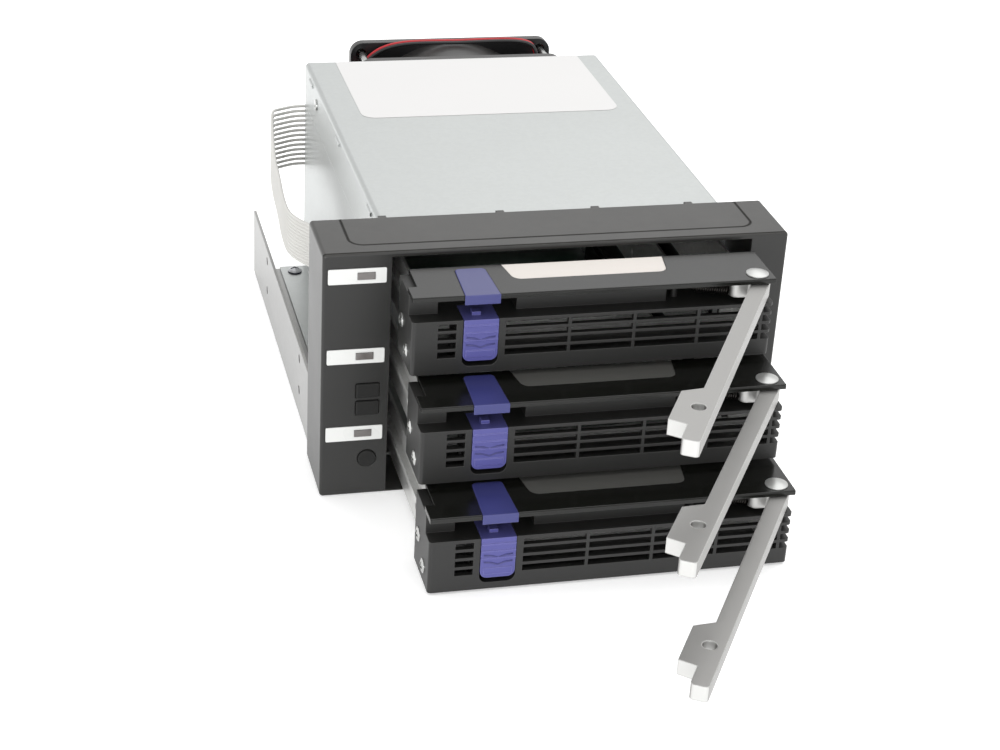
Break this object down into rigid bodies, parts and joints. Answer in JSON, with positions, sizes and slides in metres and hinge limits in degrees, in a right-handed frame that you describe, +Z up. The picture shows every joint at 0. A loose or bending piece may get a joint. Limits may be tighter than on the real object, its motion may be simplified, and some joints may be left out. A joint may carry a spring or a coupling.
{
  "type": "hot swap drive cage",
  "caption": "Drive cage with slide-out trays, swinging metal levers, thumb latches, a status panel with push buttons, a rear fan and side brackets for drive bays.",
  "frame": {"origin": "middle of the bezel's underside", "axes": "+X to the right seen from the front, +Y from the bezel to the fan, +Z up"},
  "size_m": [0.149, 0.3532, 0.0845],
  "materials": {
    "bezel_plastic": "fine grained moulding",
    "circuit_board": "solder mask",
    "window_plastic": "smooth white film",
    "lens_plastic": "smoked",
    "button_plastic": "satin",
    "zinc_sheet": "zinc plated",
    "screw_steel": "plated",
    "guide_plastic": "moulded",
    "connector_plastic": "moulded",
    "socket_plastic": "moulded nylon",
    "fan_plastic": "moulded",
    "red_lead": "insulation",
    "black_lead": "insulation",
    "ribbon_plastic": "light grey insulation",
    "tray_steel": "zinc plated",
    "tray_plastic": "fine grained moulding",
    "lid_plastic": "satin",
    "label_sheet": "satin film",
    "bare_label": "white film",
    "tab_plastic": "satin",
    "latch_plastic": "satin",
    "cast_metal": "die cast, lightly tumbled",
    "pin_steel": "polished head",
    "spring_steel": "dark wire"
  },
  "bodies": {
    "cage": {"front_bezel": "bezel_plastic", "panel_board": "circuit_board", "status_windows": "window_plastic", "window_lenses": "lens_plastic", "cage_cover": "zinc_sheet", "cage_base": "zinc_sheet", "rear_plate": "zinc_sheet", "left_bracket": "zinc_sheet", "right_bracket": "zinc_sheet", "bracket_screws": "screw_steel", "cage_rivets": "screw_steel", "left_guides": "guide_plastic", "right_guides": "guide_plastic", "backplane_board": "circuit_board", "drive_connectors": "connector_plastic", "power_sockets": "socket_plastic", "data_sockets": "connector_plastic", "fan_frame": "fan_plastic", "fan_screws": "screw_steel", "fan_lead_red": "red_lead", "fan_lead_black": "black_lead", "fan_plug": "socket_plastic", "ribbon_cable": "ribbon_plastic", "ribbon_plug": "connector_plastic"},
    "rotor": {"fan_rotor": "fan_plastic"},
    "button_upper": {"upper_button": "button_plastic"},
    "button_lower": {"lower_button": "button_plastic"},
    "button_round": {"round_button": "button_plastic"},
    "tray_1": {"tray_1_frame": "tray_steel", "tray_1_front": "tray_plastic", "tray_1_lid": "lid_plastic", "tray_1_label": "bare_label", "tray_1_tab": "tab_plastic", "tray_1_pin": "pin_steel", "tray_1_spring": "spring_steel", "tray_1_screws": "screw_steel"},
    "latch_1": {"tray_1_latch": "latch_plastic"},
    "lever_1": {"tray_1_lever": "cast_metal"},
    "tray_2": {"tray_2_frame": "tray_steel", "tray_2_front": "tray_plastic", "tray_2_lid": "lid_plastic", "tray_2_label": "label_sheet", "tray_2_tab": "tab_plastic", "tray_2_pin": "pin_steel", "tray_2_spring": "spring_steel", "tray_2_screws": "screw_steel"},
    "latch_2": {"tray_2_latch": "latch_plastic"},
    "lever_2": {"tray_2_lever": "cast_metal"},
    "tray_3": {"tray_3_frame": "tray_steel", "tray_3_front": "tray_plastic", "tray_3_lid": "lid_plastic", "tray_3_label": "label_sheet", "tray_3_tab": "tab_plastic", "tray_3_pin": "pin_steel", "tray_3_spring": "spring_steel", "tray_3_screws": "screw_steel"},
    "latch_3": {"tray_3_latch": "latch_plastic"},
    "lever_3": {"tray_3_lever": "cast_metal"}
  },
  "joints": [
    {"name": "tray_1_slide", "type": "slide", "parent": "cage", "child": "tray_1", "axis": [0, -1, 0], "range_m": [-0.0261, 0.0939]},
    {"name": "tray_1_lever_swing", "type": "hinge", "parent": "tray_1", "child": "lever_1", "pos_m": [0.05645, -0.0347, 0.0769], "axis": [0, 0, 1], "range_deg": [-60, 2], "stiffness_Nm_per_rad": 0.02, "springref_deg": 17.19, "deforming": ["tray_1_spring"]},
    {"name": "tray_1_latch_press", "type": "slide", "parent": "tray_1", "child": "latch_1", "axis": [0, 0, 1], "range_m": [-0.0016, 0.0011], "stiffness_N_per_m": 300},
    {"name": "tray_2_slide", "type": "slide", "parent": "cage", "child": "tray_2", "axis": [0, -1, 0], "range_m": [-0.04365, 0.07635]},
    {"name": "tray_2_lever_swing", "type": "hinge", "parent": "tray_2", "child": "lever_2", "pos_m": [0.05645, -0.05225, 0.0496], "axis": [0, 0, 1], "range_deg": [-58, 2], "stiffness_Nm_per_rad": 0.02, "springref_deg": 17.19, "deforming": ["tray_2_spring"]},
    {"name": "tray_2_latch_press", "type": "slide", "parent": "tray_2", "child": "latch_2", "axis": [0, 0, 1], "range_m": [-0.0016, 0.0011], "stiffness_N_per_m": 300},
    {"name": "tray_3_slide", "type": "slide", "parent": "cage", "child": "tray_3", "axis": [0, -1, 0], "range_m": [-0.0608, 0.0592]},
    {"name": "tray_3_lever_swing", "type": "hinge", "parent": "tray_3", "child": "lever_3", "pos_m": [0.05645, -0.0694, 0.0223], "axis": [0, 0, 1], "range_deg": [-58.2, 2], "stiffness_Nm_per_rad": 0.02, "springref_deg": 17.19, "deforming": ["tray_3_spring"]},
    {"name": "tray_3_latch_press", "type": "slide", "parent": "tray_3", "child": "latch_3", "axis": [0, 0, 1], "range_m": [-0.0016, 0.0011], "stiffness_N_per_m": 300},
    {"name": "fan_spin", "type": "hinge", "parent": "cage", "child": "rotor", "pos_m": [0.0084, 0.1765, 0.0427], "axis": [0, 1, 0], "continuous": true},
    {"name": "upper_button_press", "type": "slide", "parent": "cage", "child": "button_upper", "axis": [0, 1, 0], "range_m": [0, 0.0008], "stiffness_N_per_m": 400},
    {"name": "lower_button_press", "type": "slide", "parent": "cage", "child": "button_lower", "axis": [0, 1, 0], "range_m": [0, 0.0008], "stiffness_N_per_m": 400},
    {"name": "round_button_press", "type": "slide", "parent": "cage", "child": "button_round", "axis": [0, 1, 0], "range_m": [0, 0.0008], "stiffness_N_per_m": 400}
  ]
}
